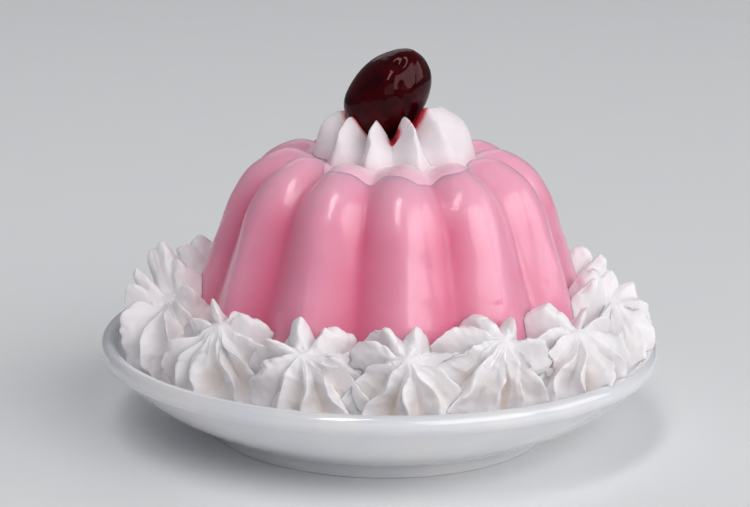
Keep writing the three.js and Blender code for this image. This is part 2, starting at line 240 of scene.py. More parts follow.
# ---- fruit ----
# Its middle, half its width and length, how much it narrows towards its top, and its lean to the right.
FRUIT = dict(x=1.6, y=-2, high=93.9, wide=10.1, tall=13.5, taper=0.08, lean=35)
FRUIT_COLUMNS = 200
FRUIT_ROWS = 136

# ---- camera ----
CAMERA_TARGET = (-1.62, 0, 48.77)
CAMERA_ELEVATION = 13.61
CAMERA_DISTANCE = 554.5
CAMERA_ROLL = 1.06
IMAGE_WIDTH = 750  # pixels
FOCAL_PIXELS = 2000
SENSOR = 36

# ---- studio, in metres and watts ----
FLOOR_HALF = 2.5
LIGHT_DISTANCE = 4.5
LIGHT_AIM = (0, 0, 0.05)
# Each softbox: its name, azimuth from the front towards the right, elevation, width, height and power.
SOFTBOXES = [
    ("key_softbox", 42, 32, 3.6, 3, 100),
    ("window_softbox", -22, 60, 0.9, 2.8, 52),
    ("front_softbox", 2, 16, 3, 1.8, 12),
    ("side_softbox", 88, 24, 2.6, 2.4, 40),
    ("back_softbox", 186, 36, 3, 2.2, 15),
]
SKY_COLOUR = (0.9, 0.91, 1, 1)
SKY_STRENGTH = 0.17


# ---- shared shape tools ----

def spline(points, share):
    """The smooth curve through points, at shares of its run of points from 0 to 1."""
    points = np.asarray(points, float)
    last = len(points) - 1
    place = np.clip(np.asarray(share, float), 0, 1) * last
    i = np.minimum(place.astype(int), last - 1)
    t = (place - i)[..., None]
    before, start, end = points[np.maximum(i - 1, 0)], points[i], points[i + 1]
    after = points[np.minimum(i + 2, last)]
    leave, arrive = (end - before) / 2, (after - start) / 2
    cubic = 2 * start - 2 * end + leave + arrive
    square = -3 * start + 3 * end - 2 * leave - arrive
    return ((cubic * t + square) * t + leave) * t + start


def evenly(points, share):
    """The same curve at shares of its length, and its direction there."""
    fine = spline(points, np.linspace(0, 1, 600))
    lengths = np.concatenate([[0], np.cumsum(np.linalg.norm(np.diff(fine, axis=0), axis=1))])
    at = np.asarray(share) * lengths[-1]
    place = np.stack([np.interp(at, lengths, fine[:, i]) for i in range(2)], -1)
    way = np.gradient(fine, lengths, axis=0)
    way /= np.linalg.norm(way, axis=1)[:, None]
    return place, np.stack([np.interp(at, lengths, way[:, i]) for i in range(2)], -1)


def smoothstep(value, low, high):
    t = np.clip((value - low) / (high - low), 0, 1)
    return t * t * (3 - 2 * t)


def within(value, start, full, fade, end):
    """1 between full and fade, and 0 before start and after end."""
    return smoothstep(value, start, full) * (1 - smoothstep(value, fade, end))


def bell(value, middle, width):
    return np.exp(-((value - middle) / width) ** 2)


def waves(points, size, seed):
    """Smooth unevenness from about -1 to 1 at points, with humps of about that size."""
    rng = np.random.default_rng(seed)
    count = 9
    ways = rng.normal(size=(count, points.shape[-1]))
    ways /= np.linalg.norm(ways, axis=1)[:, None]
    total = np.zeros(points.shape[:-1])
    for way in ways:
        length = size * rng.uniform(1.2, 3)
        total += np.sin(points @ way * (2 * math.pi / length) + rng.uniform(0, 2 * math.pi))
    return total * math.sqrt(2 / count) / 1.6


def lip_points(angles, spread=0):
    """Points round the lip's section, pushed out by spread, from the outer edge at 0 over its top."""
    turn = np.radians(angles)
    radius = RIM_RADIUS - LIP_WIDE + (LIP_WIDE + spread) * np.cos(turn)
    height = RIM_HIGH + (LIP_TALL + spread) * np.sin(turn)
    return np.stack([radius, height], -1)


def rounded_corner(before, corner, after, radius):
    """Points that round off a corner of an outline."""
    before, corner, after = (np.asarray(p, float) for p in (before, corner, after))
    start = corner + radius * (before - corner) / np.linalg.norm(before - corner)
    end = corner + radius * (after - corner) / np.linalg.norm(after - corner)
    t = np.linspace(0, 1, 5)[:, None]
    return (1 - t) ** 2 * start + 2 * t * (1 - t) * corner + t**2 * end


def well_height(distance):
    """The height of the saucer's inner face at a distance from its middle."""
    slope = spline(WELL_SLOPE, np.linspace(0, 1, 60))
    return np.interp(distance, np.r_[0, slope[:, 0]], np.r_[WELL_FLOOR, slope[:, 1]])


def make_piece(name, points, faces):
    """A smooth-shaded object from points in millimetres."""
    mesh = bpy.data.meshes.new(name)
    mesh.from_pydata((np.asarray(points) * MM).tolist(), [], faces)
    mesh.validate()
    mesh.shade_smooth()
    piece = bpy.data.objects.new(name, mesh)
    bpy.context.scene.collection.objects.link(piece)
    return piece


def closed_skin(name, rows):
    """A closed piece from rows of points, whose first and last row each are one point."""
    rows = np.asarray(rows)
    count = rows.shape[1]
    points = np.vstack([rows[0, :1], rows[1:-1].reshape(-1, 3), rows[-1, :1]])
    last = len(points) - 1
    here = np.arange(count)
    after = (here + 1) % count
    faces = [(0, 1 + b, 1 + a) for a, b in zip(here, after)]
    for row in range(len(rows) - 3):
        low, high = 1 + row * count, 1 + (row + 1) * count
        faces += [(low + a, low + b, high + b, high + a) for a, b in zip(here, after)]
    top = 1 + (len(rows) - 3) * count
    faces += [(top + a, top + b, last) for a, b in zip(here, after)]
    return make_piece(name, points, faces)


def turned(outline, sides):
    """Rows of points for an outline of (radius, height) turned about the upright axis."""
    angle = np.linspace(0, 2 * math.pi, sides, endpoint=False)
    outline = np.asarray(outline)
    x = outline[:, :1] * np.sin(angle)
    y = -outline[:, :1] * np.cos(angle)
    return np.stack([x, y, np.repeat(outline[:, 1:], sides, axis=1)], -1)


def points_of(piece):
    """The piece's vertices in millimetres."""
    mesh = piece.data
    flat = np.zeros(len(mesh.vertices) * 3)
    mesh.vertices.foreach_get("co", flat)
    return flat.reshape(-1, 3) / MM


def normals_of(piece):
    mesh = piece.data
    flat = np.zeros(len(mesh.vertices) * 3)
    mesh.vertex_normals.foreach_get("vector", flat)
    return flat.reshape(-1, 3)


def distance_to(piece, points):
    """How far each point is from the piece's skin, in millimetres."""
    skin = BVHTree.FromObject(piece, bpy.context.evaluated_depsgraph_get())
    return np.array([skin.find_nearest(Vector(p * MM))[3] for p in points]) / MM


def move_points(piece, points):
    piece.data.vertices.foreach_set("co", (points * MM).ravel())
    piece.data.update()


def paint(piece, name, values):
    """Stores a value per vertex, for the piece's material."""
    attribute = piece.data.attributes.new(name, "FLOAT", "POINT")
    attribute.data.foreach_set("value", np.asarray(values, np.float32))


def grown(piece, distance):
    """A copy of the piece with its skin pushed out."""
    copy = piece.copy()
    copy.data = piece.data.copy()
    bpy.context.scene.collection.objects.link(copy)
    move_points(copy, points_of(piece) + distance * normals_of(piece))
    return copy


def cut(piece, cutters):
    """Takes the cutters' space out of the piece and keeps its largest body."""
    for cutter in cutters:
        modifier = piece.modifiers.new("cut", "BOOLEAN")
        modifier.operation = "DIFFERENCE"
        modifier.solver = "MANIFOLD"
        modifier.object = cutter
    shown = piece.evaluated_get(bpy.context.evaluated_depsgraph_get())
    mesh = bpy.data.meshes.new_from_object(shown)
    piece.modifiers.clear()
    piece.data = mesh
    keep_largest(piece)


def keep_largest(piece):
    shape = bmesh.new()
    shape.from_mesh(piece.data)
    left = set(shape.verts)
    bodies = []
    while left:
        body, edge = set(), [left.pop()]
        while edge:
            vertex = edge.pop()
            body.add(vertex)
            near = {e.other_vert(vertex) for e in vertex.link_edges} & left
            left -= near
            edge.extend(near)
        bodies.append(body)
    largest = max(bodies, key=len)
    loose = [v for body in bodies if body is not largest for v in body]
    bmesh.ops.delete(shape, geom=loose, context="VERTS")
    shape.to_mesh(piece.data)
    shape.free()


def discard(pieces):
    for piece in pieces:
        bpy.data.objects.remove(piece)


def dress(piece, material, slot, *nodes):
    """Gives the piece its finish and lets it stand for its CAD nodes."""
    piece.data.materials.clear()
    piece.data.materials.append(material)
    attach(piece, "root")
    if nodes:
        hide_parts(*nodes)
    return piece


# ---- materials ----

def new_material(name, settings):
    """A material with its Principled shader's plain values set. Gives the material and the shader."""
    material = bpy.data.materials.new(name)
    material.use_nodes = True
    shader = material.node_tree.nodes["Principled BSDF"]
    for socket, value in settings.items():
        shader.inputs[socket].default_value = value
    return material, shader


def add_node(tree, kind, inputs, **settings):
    node = tree.nodes.new(kind)
    for name, value in settings.items():
        setattr(node, name, value)
    for socket, value in inputs.items():
        if isinstance(value, bpy.types.NodeSocket):
            tree.links.new(value, node.inputs[socket])
        else:
            node.inputs[socket].default_value = value
    return node


def blend_colour(tree, share, first, second):
    node = add_node(tree, "ShaderNodeMix", {0: share, 6: first, 7: second}, data_type="RGBA")
    return node.outputs[2]


def combine(tree, operation, first, second):
    return add_node(tree, "ShaderNodeMath", {0: first, 1: second}, operation=operation).outputs[0]


def remap(tree, value, low, high, to_low, to_high):
    inputs = {"Value": value, "From Min": low, "From Max": high, "To Min": to_low, "To Max": to_high}
    return add_node(tree, "ShaderNodeMapRange", inputs).outputs[0]


def noise(tree, size, detail):
    """Cloudy noise from 0 to 1 with blots of that size in millimetres."""
    place = add_node(tree, "ShaderNodeTexCoord", {}).outputs["Object"]
    inputs = {"Vector": place, "Scale": 1 / (size * MM), "Detail": detail}
    return add_node(tree, "ShaderNodeTexNoise", inputs).outputs["Fac"]


def bump(tree, shader, height, depth, before=None):
    """Fine relief of that depth in millimetres."""
    inputs = {"Height": height, "Distance": depth * MM, "Strength": 1.0}
    if before is not None:
        inputs["Normal"] = before
    node = add_node(tree, "ShaderNodeBump", inputs)
    tree.links.new(node.outputs[0], shader.inputs["Normal"])
    return node.outputs[0]


def painted(tree, name):
    """A value that the mesh stores per vertex."""
    return add_node(tree, "ShaderNodeAttribute", {}, attribute_name=name).outputs["Fac"]


def colour(red, green, blue):
    """A colour given as display values from 0 to 255."""
    def linear(value):
        share = value / 255
        return share / 12.92 if share <= 0.04045 else ((share + 0.055) / 1.055) ** 2.4
    return (linear(red), linear(green), linear(blue), 1)


def porcelain_material():
    material, shader = new_material("porcelain_glaze", {
        "IOR": 1.5, "Coat Weight": 0.6, "Coat Roughness": 0.09,
        "Subsurface Weight": 0.15, "Subsurface Scale": 0.001,
    })
    tree = material.node_tree
    clouds = remap(tree, noise(tree, 18, 3), 0.35, 0.65, 0, 1)
    glaze = blend_colour(tree, clouds, colour(224, 225, 230), colour(232, 231, 232))
    bare = painted(tree, "unglazed")
    base = blend_colour(tree, bare, glaze, colour(222, 214, 200))
    tree.links.new(base, shader.inputs["Base Color"])
    tree.links.new(remap(tree, bare, 0, 1, 0.1, 0.7), shader.inputs["Roughness"])
    bump(tree, shader, noise(tree, 5, 1), 0.012)
    return material


def jelly_material():
    coat = 0.6
    material, shader = new_material("milk_jelly", {
        "IOR": 1.5, "Specular IOR Level": 0.6,
        "Sheen Weight": 0.3, "Sheen Roughness": 0.4, "Sheen Tint": (1.0, 0.58, 0.72, 1),
        "Coat Weight": coat, "Coat Roughness": 0.09, "Coat IOR": 1.5,
        "Subsurface Weight": 1.0, "Subsurface Radius": (1.0, 0.42, 0.5), "Subsurface Scale": 0.006,
    })
    tree = material.node_tree
    clouds = remap(tree, noise(tree, 14, 3), 0.35, 0.65, 0, 1)
    pink = blend_colour(tree, clouds, colour(240, 159, 186), colour(243, 166, 192))
    # Painted shade: a darker, deeper pink in the grooves.
    groove = painted(tree, "groove")
    deep = remap(tree, groove, 0, 1, 0, 0.68)
    pink = blend_colour(tree, deep, pink, colour(222, 76, 124))
    # Painted shade: a darker, deeper pink towards the jelly's foot.
    low = remap(tree, painted(tree, "low"), 0, 1, 0, 0.6)
    pink = blend_colour(tree, low, pink, colour(232, 108, 140))
    # Painted light: a paler pink on the shoulders and top, where light falls from above.
    high = remap(tree, painted(tree, "high"), 0, 1, 0, 0.55)
    pink = blend_colour(tree, high, pink, colour(250, 190, 210))
    tree.links.new(pink, shader.inputs["Base Color"])
    dull = remap(tree, noise(tree, 3, 4), 0.3, 0.7, 0.28, 0.42)
    tree.links.new(dull, shader.inputs["Roughness"])
    tree.links.new(remap(tree, groove, 0.5, 1, coat, 0), shader.inputs["Coat Weight"])
    relief = bump(tree, shader, noise(tree, 2.2, 3), 0.05)
    bump(tree, shader, noise(tree, 0.5, 2), 0.01, relief)
    return material


def cream_material(first, second):
    material, shader = new_material("whipped_cream", {
        "Roughness": 0.5, "IOR": 1.4, "Specular IOR Level": 0.4,
        "Subsurface Weight": 1.0, "Subsurface Radius": (1.0, 0.92, 0.86), "Subsurface Scale": 0.0011,
    })
    tree = material.node_tree
    clouds = remap(tree, noise(tree, 6, 3), 0.35, 0.65, 0, 1)
    white = blend_colour(tree, clouds, first, second)
    # Painted shade: a warm beige where a ring star's folds lie deep and low.
    deep = remap(tree, painted(tree, "deep"), 0, 1, 0, 0.75)
    white = blend_colour(tree, deep, white, colour(228, 207, 184))
    tree.links.new(white, shader.inputs["Base Color"])
    relief = bump(tree, shader, noise(tree, 1.6, 3), 0.05)
    bump(tree, shader, noise(tree, 0.35, 2), 0.018, relief)
    return material


def top_cream_material():
    material = cream_material(colour(239, 230, 234), colour(244, 236, 239))
    material.name = "stained_cream"
    tree = material.node_tree
    shader = tree.nodes["Principled BSDF"]
    white = shader.inputs["Base Color"].links[0].from_socket
    blots = remap(tree, noise(tree, 1.6, 2), 0.3, 0.7, 0.8, 1.15)
    ragged = combine(tree, "MULTIPLY", painted(tree, "juice"), blots)
    faint = remap(tree, ragged, 0.05, 0.6, 0, 1)
    strong = remap(tree, ragged, 0.4, 1, 0, 1)
    tint = blend_colour(tree, faint, white, colour(238, 110, 116))
    tint = blend_colour(tree, strong, tint, colour(158, 10, 24))
    softened = painted(tree, "softened")
    tint = blend_colour(tree, softened, tint, colour(244, 214, 220))
    tree.links.new(tint, shader.inputs["Base Color"])
    wet = combine(tree, "MAXIMUM", faint, softened)
    tree.links.new(remap(tree, wet, 0, 1, 0.5, 0.22), shader.inputs["Roughness"])
    return material


def puddle_material():
    material, shader = new_material("softened_cream", {
        "Roughness": 0.35, "IOR": 1.35, "Coat Weight": 0.3, "Coat Roughness": 0.1, "Coat IOR": 1.5,
        "Sheen Weight": 0.3, "Sheen Roughness": 0.4,
        "Subsurface Weight": 0.2, "Subsurface Radius": (1.0, 0.6, 0.65), "Subsurface Scale": 0.0005,
    })
    tree = material.node_tree
    clouds = remap(tree, noise(tree, 3, 3), 0.3, 0.7, 0, 1)
    tint = blend_colour(tree, clouds, colour(248, 212, 221), colour(247, 237, 239))
    tint = blend_colour(tree, painted(tree, "edge"), tint, colour(250, 194, 212))
    tree.links.new(tint, shader.inputs["Base Color"])
    bump(tree, shader, noise(tree, 1.2, 3), 0.03)
    return material


def fruit_material():
    material, shader = new_material("dark_fruit_skin", {
        "Roughness": 0.08, "IOR": 1.3, "Specular Tint": (1.0, 0.6, 0.66, 1),
        "Subsurface Weight": 0.2, "Subsurface Radius": (1.0, 0.1, 0.1), "Subsurface Scale": 0.0015,
    })
    tree = material.node_tree
    blots = remap(tree, noise(tree, 5, 4), 0.35, 0.65, 0, 1)
    skin = blend_colour(tree, blots, colour(38, 1, 3), colour(62, 3, 6))
    tree.links.new(skin, shader.inputs["Base Color"])
    bump(tree, shader, noise(tree, 1.5, 2), 0.03)
    return material


def floor_material():
    material, shader = new_material("pale_floor", {"Roughness": 0.6})
    tree = material.node_tree
    tint = blend_colour(tree, noise(tree, 40, 3), colour(240, 241, 242), colour(243, 244, 244))
    tree.links.new(tint, shader.inputs["Base Color"])
    return material


# ---- saucer ----

def plate_outline():
    """The saucer's section from the middle of its underside round to the middle of the well."""
    middle = (0, RECESS_HIGH)
    recess_flat = (FOOT_INNER - 12, RECESS_HIGH)
    recess_edge = (FOOT_INNER - 2, RECESS_HIGH)
    foot_inner, foot_flat, foot_outer = (FOOT_INNER, 0), (FOOT_OUTER - 2.6, 0), (FOOT_OUTER, 0)
    foot_edge = (FOOT_OUTER + 0.5, FOOT_HIGH)
    underside = [
        middle,
        recess_flat,
        *rounded_corner(middle, recess_edge, foot_inner, RECESS_SOFT),
        *rounded_corner(recess_edge, foot_inner, foot_outer, FOOT_SOFT),
        foot_flat,
        *rounded_corner(foot_inner, foot_outer, foot_edge, FOOT_SOFT),
    ]
    lip = lip_points(np.linspace(-40, 160, 28))
    belly = spline([foot_edge, *BELLY, lip[0]], np.linspace(0, 1, 30))[:-1]
    well = spline(WELL_SLOPE, np.linspace(1, 0, 36))
    return [*underside, *belly, *lip, *well, (0, WELL_FLOOR)]


def build_plate(material):
    plate = closed_skin("plate_glazed", turned(plate_outline(), PLATE_SIDES))
    points = points_of(plate)
    radius = np.hypot(points[:, 0], points[:, 1])
    on_foot = (points[:, 2] < BARE_HIGH) & (radius > FOOT_INNER - 1)
    paint(plate, "unglazed", on_foot.astype(float))
    return dress(plate, material, "porcelain", "plate")


def keep_out(gap):
    """What no food may reach into: the saucer, everything under it and outside its rim."""
    far = 130
    top = RIM_HIGH + LIP_TALL + gap
    lip = lip_points(np.linspace(75, 160, 12), gap)
    well = spline(WELL_SLOPE, np.linspace(1, 0, 36)) + (0, gap)
    outline = [(0, -far), (far, -far), (far, top), *lip, *well, (0, WELL_FLOOR + gap)]
    return closed_skin("keep_out", turned(outline, PLATE_SIDES))


# ---- jelly ----

def lobe_share(across, power):
    """How far a lobe stands out, from 0 in the groove to 1 on the crest."""
    from_groove = 1 - np.abs(across)
    soft = np.hypot(from_groove, GROOVE_SOFT) - GROOVE_SOFT
    full = math.hypot(1, GROOVE_SOFT) - GROOVE_SOFT
    return 1 - (1 - soft / full) ** power


def jelly_rows():
    """Rows of points of the jelly's skin, and how deep in a groove each point lies."""
    lobe = np.arange(LOBES * LOBE_COLUMNS) / LOBE_COLUMNS
    across = 2 * (lobe - np.floor(lobe)) - 1
    angle = math.radians(LOBE_TURN) + (lobe - 0.5) * 2 * math.pi / LOBES
    along = np.linspace(0, 1, JELLY_ROWS)
    at, way = evenly(JELLY_WALL, along)
    fade = smoothstep(1 - along, 0, GROOVE_FADE)
    power = CREST_POWER[0] + (CREST_POWER[1] - CREST_POWER[0]) * smoothstep(along, *SHOULDER)
    groove = fade[:, None] * (1 - lobe_share(across, power[:, None]))
    inwards = GROOVE_DEEP * groove
    radius = at[:, :1] - inwards * way[:, 1:]
    height = at[:, 1:] + inwards * way[:, :1]
    wall = np.stack([JELLY_X + radius * np.sin(angle), -radius * np.cos(angle), height], -1)
    foot = wall[:1] * (1, 1, 0)
    middle = np.array([JELLY_X, 0, 0])
    under = [middle + share * (foot - middle) for share in (0, 0.4, 0.75, 0.9, 1)]
    under = np.concatenate(under)
    under[..., 2] = well_height(np.hypot(under[..., 0], under[..., 1])) + CONTACT
    lift = np.linspace(0, 1, 6)[1:-1, None, None]
    side = under[-1:] * (1 - lift) + wall[:1] * lift
    dish = [middle + (wall[-1:] - middle) * (share, share, 0) for share in (0.8, 0.6, 0.3, 0)]
    dish = np.concatenate(dish)
    dish[..., 2] = JELLY_DISH
    depth = np.pad(groove, ((len(under) + len(side), len(dish)), (0, 0)))
    return np.concatenate([under, side, wall, dish]), depth


def build_jelly(material):
    rows, depth = jelly_rows()
    jelly = closed_skin("jelly_moulded", rows)
    points = points_of(jelly)
    out = normals_of(jelly)
    shape = 0.11 * waves(points, 14, 3) + 0.07 * waves(points, 5, 4)
    angle = np.degrees(np.arctan2(points[:, 0] - JELLY_X, -points[:, 1]))
    radius = np.hypot(points[:, 0] - JELLY_X, points[:, 1])
    for at, high, wide, deep in PITS:
        aside = np.radians((angle - at + 180) % 360 - 180) * radius
        away = np.hypot(aside, points[:, 2] - high) / wide
        shape -= PIT_SHARE * deep * np.exp(-away**2)
    above_plate = smoothstep(points[:, 2], 16, 24)
    move_points(jelly, points + out * (shape * above_plate)[:, None])
    # Painted shade in the grooves, lighter on the right.
    groove = np.r_[depth[0, :1], depth[1:-1].ravel(), depth[-1, :1]]
    key_lit_grooves = 0.7 * within(angle, 24, 44, 90, 125)  # the painted groove shade is lighter on the right, where the key light falls into the grooves
    paint(jelly, "groove", groove * (1 - key_lit_grooves))
    # Painted light on the shoulders and top, painted shade towards the foot.
    paint(jelly, "high", smoothstep(points[:, 2], 62, 76))
    paint(jelly, "low", 1 - smoothstep(points[:, 2], 24, 50))
    return dress(jelly, material, "jelly", "jelly")


# ---- whipped cream ----

def wander(along, rng, size):
    """Slow unevenness from about -1 to 1 along a ridge."""
    total = np.zeros_like(along)
    for length in (2.2 * size, 1.3 * size, 0.8 * size):
        total += np.sin(2 * math.pi * (along / length + rng.uniform()))
    return total / 1.8


def torn_edge(along, rng):
    """How far a ridge is torn off, in mm: ragged notches on an edge that is otherwise whole."""
    loss = 0.15 * wander(along, rng, 0.06) + 0.1 * wander(along, rng, 0.025)
    for _ in range(rng.integers(3, 8)):
        where, wide, deep = rng.uniform(0.3, 0.85), rng.uniform(0.012, 0.05), rng.uniform(0.3, 2)
        loss += deep * np.exp(-np.abs((along - where) / wide) ** 1.5)
    return loss


def folds(share, along, rng):
    """Creases on one face of a blade, in mm: each a low ridge that wanders along part of it."""
    total = np.zeros((len(along), len(share)))
    for _ in range(rng.integers(1, 4)):
        where = rng.uniform(0.25, 0.8) + 0.1 * wander(along, rng, 0.5)
        start, length, wide = rng.uniform(0.05, 0.55), rng.uniform(0.15, 0.4), rng.uniform(0.12, 0.3)
        alive = within(along, start, start + 0.1, start + length, start + length + 0.1)
        tent = np.maximum(0, 1 - np.abs(share[None, :] - where[:, None]) / wide)
        total += rng.uniform(-0.8, 1.5) * alive[:, None] * tent
    return total


def blade_values(star):
    """The rosette's blades in order round it, with the values that they leave out."""
    values = []
    for k, blade in enumerate(sorted(star["blades"], key=lambda blade: blade[0])):
        *shape, full = (*blade, *COMMON_BLADE[len(blade):])
        if full is None:
            full = 0.1 + 0.35 * draw(star["at"] + 3, k)
        values.append((*shape, full))
    return values


def star_rows(star, ridge_points, valley_points, seed, torn):
    """Rows of points of a piped star, from under its foot up over the blades' tips to its middle.

    Each blade has a ridge of its own, with valleys between the blades. A blade's face runs from the
    valley up to the ridge, hollow on a sharp blade and full on a blunt one. Torn says from 0 to 1 how
    ragged the blades are.
    """
    blades = blade_values(star)
    count = len(blades)
    size = star["size"]
    rng = np.random.default_rng(seed)
    spread = np.linspace(-1, 1, BLADE_COLUMNS, endpoint=False)
    side = np.sign(spread) * np.abs(spread) ** CROWDING
    own_share = 1 - np.abs(side) / 2
    rounded = np.hypot(side, RIDGE_SOFT) - RIDGE_SOFT
    share = 1 - rounded / (math.hypot(1, RIDGE_SOFT) - RIDGE_SOFT)
    along = np.linspace(0, 1, STAR_ROWS)
    valley = spline(valley_points, along)
    turn = smoothstep(along, TWIST_FROM, TWIST_TO)
    on_edge = within(along, *TEAR_EDGE)
    ridges = [
        spline([(r * (1 + (reach - 1) * part), z + part * tall) for r, z, part in ridge_points], along)
        for _, tall, reach, _, _, _ in blades
    ]
    skew = torn * np.random.default_rng(seed + 50).uniform(-TIP_SKEW, TIP_SKEW, count)

    def angle_of(k):
        blade = blades[k % count]
        return blade[0] + (blade[3] + skew[k % count]) * turn + 360 * (k // count)

    def valley_after(k):
        between = (ridges[k % count] + ridges[(k + 1) % count]) / 2
        return valley + blades[k % count][5] * (between - valley)

    parts = []
    for k, (_, tall, _, _, blunt, _) in enumerate(blades):
        high = ridges[k]
        before, after = valley_after(k - 1)[:, None], valley_after(k)[:, None]
        low = np.where((side < 0)[None, :, None], before, after)
        reach = np.maximum(np.linalg.norm(high - valley, axis=1), 0.05) * size
        loss = torn * min(1, 0.42 + 2 * tall) * on_edge * torn_edge(along, rng) / reach
        face = share**SHARP * (1 - blunt) + np.sin(share * math.pi / 2) * blunt
        out = face[None, :] - loss[:, None] * share[None, :] ** 3
        for half in (side < 0, side >= 0):
            relief = torn * (1 - 0.6 * blunt) * folds(share[half], along, rng)
            out[:, half] += relief / np.maximum(reach, 2)[:, None]
        place = low + out[..., None] * (high[:, None] - low)
        sway = (1 + 4 * torn) * wander(along, rng, 0.4) * on_edge
        own, left, right = angle_of(k), angle_of(k - 1), angle_of(k + 1)
        next_to = np.where(side[None, :] < 0, left[:, None], right[:, None])
        angle = next_to + (own[:, None] - next_to) * own_share + sway[:, None] * share[None, :] ** 2
        angle = np.radians(angle)
        radius = place[..., 0]
        ring = [radius * np.sin(angle), -radius * np.cos(angle), place[..., 1]]
        parts.append(size * np.stack(ring, -1))
    skin = np.concatenate(parts, axis=1)
    off_centre = torn * 0.12 * size * rng.uniform(-1, 1, 2)
    skin[..., :2] += smoothstep(along, 0.5, 1)[:, None, None] * off_centre
    bottom = np.zeros_like(skin[:1])
    bottom[..., 2] = valley_points[0][1] * size
    return np.concatenate([bottom, skin])


def soften(rows, seed, amount):
    """Gives a star's skin the unevenness of whipped cream."""
    humps = waves(rows, 6, seed) + 0.45 * waves(rows, 2.6, seed + 1) + 0.16 * waves(rows, 1.1, seed + 2)
    middle = rows.mean(axis=(0, 1))
    way = rows - middle
    way /= np.maximum(np.linalg.norm(way, axis=-1), 1)[..., None]
    return rows + amount * way * humps[..., None]


def crumple(piece, seed):
    """Presses soft creases into a star's skin. The last point is the star's middle."""
    points = points_of(piece)
    creases = 0.5 * np.abs(waves(points, 6, seed)) + 0.14 * np.abs(waves(points, 2.4, seed + 1)) - 0.3
    creases *= smoothstep(np.linalg.norm(points - points[-1], axis=1), 2, 7)
    move_points(piece, points - normals_of(piece) * creases[:, None])


def place_ring_star(rows, star):
    """Leans the star out, moves it out from the saucer's middle and turns it to its plan angle."""
    lean = Matrix.Rotation(math.radians(star["lean"]), 4, "X")
    move = Matrix.Translation((0, -star["out"], star["high"]))
    turn = Matrix.Rotation(math.radians(star["at"]), 4, "Z")
    along = Matrix.Translation((RING_X, 0, 0))
    matrix = np.array(along @ turn @ move @ lean)
    return rows * (RING_WIDE, 1, 1) @ matrix[:3, :3].T + matrix[:3, 3]


def hollow_shade(star, points):
    """How deep and low each point lies in a ring star, from 0 at its outside to 1 at its core: how much
    painted shade it gets.
    """
    turn, lean = math.radians(star["at"]), math.radians(star["lean"])
    outwards = np.array([math.sin(turn), -math.cos(turn), 0])
    axis = math.sin(lean) * outwards + np.array([0, 0, math.cos(lean)])
    from_middle = points - (star["out"] * outwards + (RING_X, 0, star["high"]))
    up = from_middle @ axis
    aside = np.linalg.norm(from_middle - np.outer(up, axis), axis=1)
    return (1 - smoothstep(aside / star["size"], 0.3, 0.8)) * smoothstep(-up / star["size"], 0.1, 0.8)


def build_ring(material, jelly):
    plate_space = keep_out(CONTACT)
    jelly_space = grown(jelly, CONTACT)
    whole = []
    for i, star in enumerate(RING):
        rows = star_rows(star, RING_RIDGE, RING_VALLEY, BLADE_SEED + i, 1)
        rows = place_ring_star(soften(rows, SOFT_SEED + i, 0.5), star)
        whole.append(closed_skin(f"whipped_star_{i + 1:02d}", rows))
        crumple(whole[-1], CREASE_SEED + i)
    spaces = [grown(star, CONTACT) for star in whole]
    for i, (star, piece) in enumerate(zip(RING, whole)):
        # A rosette gives way to its neighbours that come earlier in the ring.
        earlier = [j for j in (i - 1, (i + 1) % len(RING)) if 0 <= j < i]
        cut(piece, [plate_space, jelly_space, *(spaces[j] for j in earlier)])
        piece.data.shade_smooth()
        # Painted shade: a warm beige in the star's deep, low folds.
        paint(piece, "deep", hollow_shade(star, points_of(piece)))
        dress(piece, material, "cream", f"cream_ring_{i + 1:02d}")
    discard([plate_space, jelly_space, *spaces])


def build_top(material, jelly, fruit):
    rows = star_rows(TOP, TOP_RIDGE, TOP_VALLEY, TOP_BLADE_SEED, 0.2)
    rows = soften(rows, TOP_SOFT_SEED, 0.2) + (TOP["x"], TOP["y"], TOP["high"])
    piece = closed_skin("whipped_top_star", rows)
    spaces = [grown(jelly, CONTACT), grown(fruit, CONTACT)]
    cut(piece, spaces)
    discard(spaces)
    piece.data.shade_smooth()
    points = points_of(piece)
    from_fruit = distance_to(fruit, points)
    juice = 0.55 * (1 - smoothstep(from_fruit, 0, JUICE_SOAK))
    in_front = (points[:, 1] < TOP["y"]) & (from_fruit < 6)
    for start, end, wide in JUICE:
        start, end = np.array(start), np.array(end)
        way = end - start
        from_start = points[:, (0, 2)] - start
        share = np.clip(from_start @ way / (way @ way), 0, 1)
        aside = np.linalg.norm(from_start - share[:, None] * way, axis=1) / wide
        juice = np.maximum(juice, (1 - smoothstep(aside, 0, 1.7)) * in_front)
    paint(piece, "juice", juice)
    paint(piece, "deep", np.zeros(len(points)))
    paint(piece, "softened", 0.6 * (1 - smoothstep(distance_to(jelly, points), 0.5, 3.5)))
    return dress(piece, material, "cream", "cream_top")


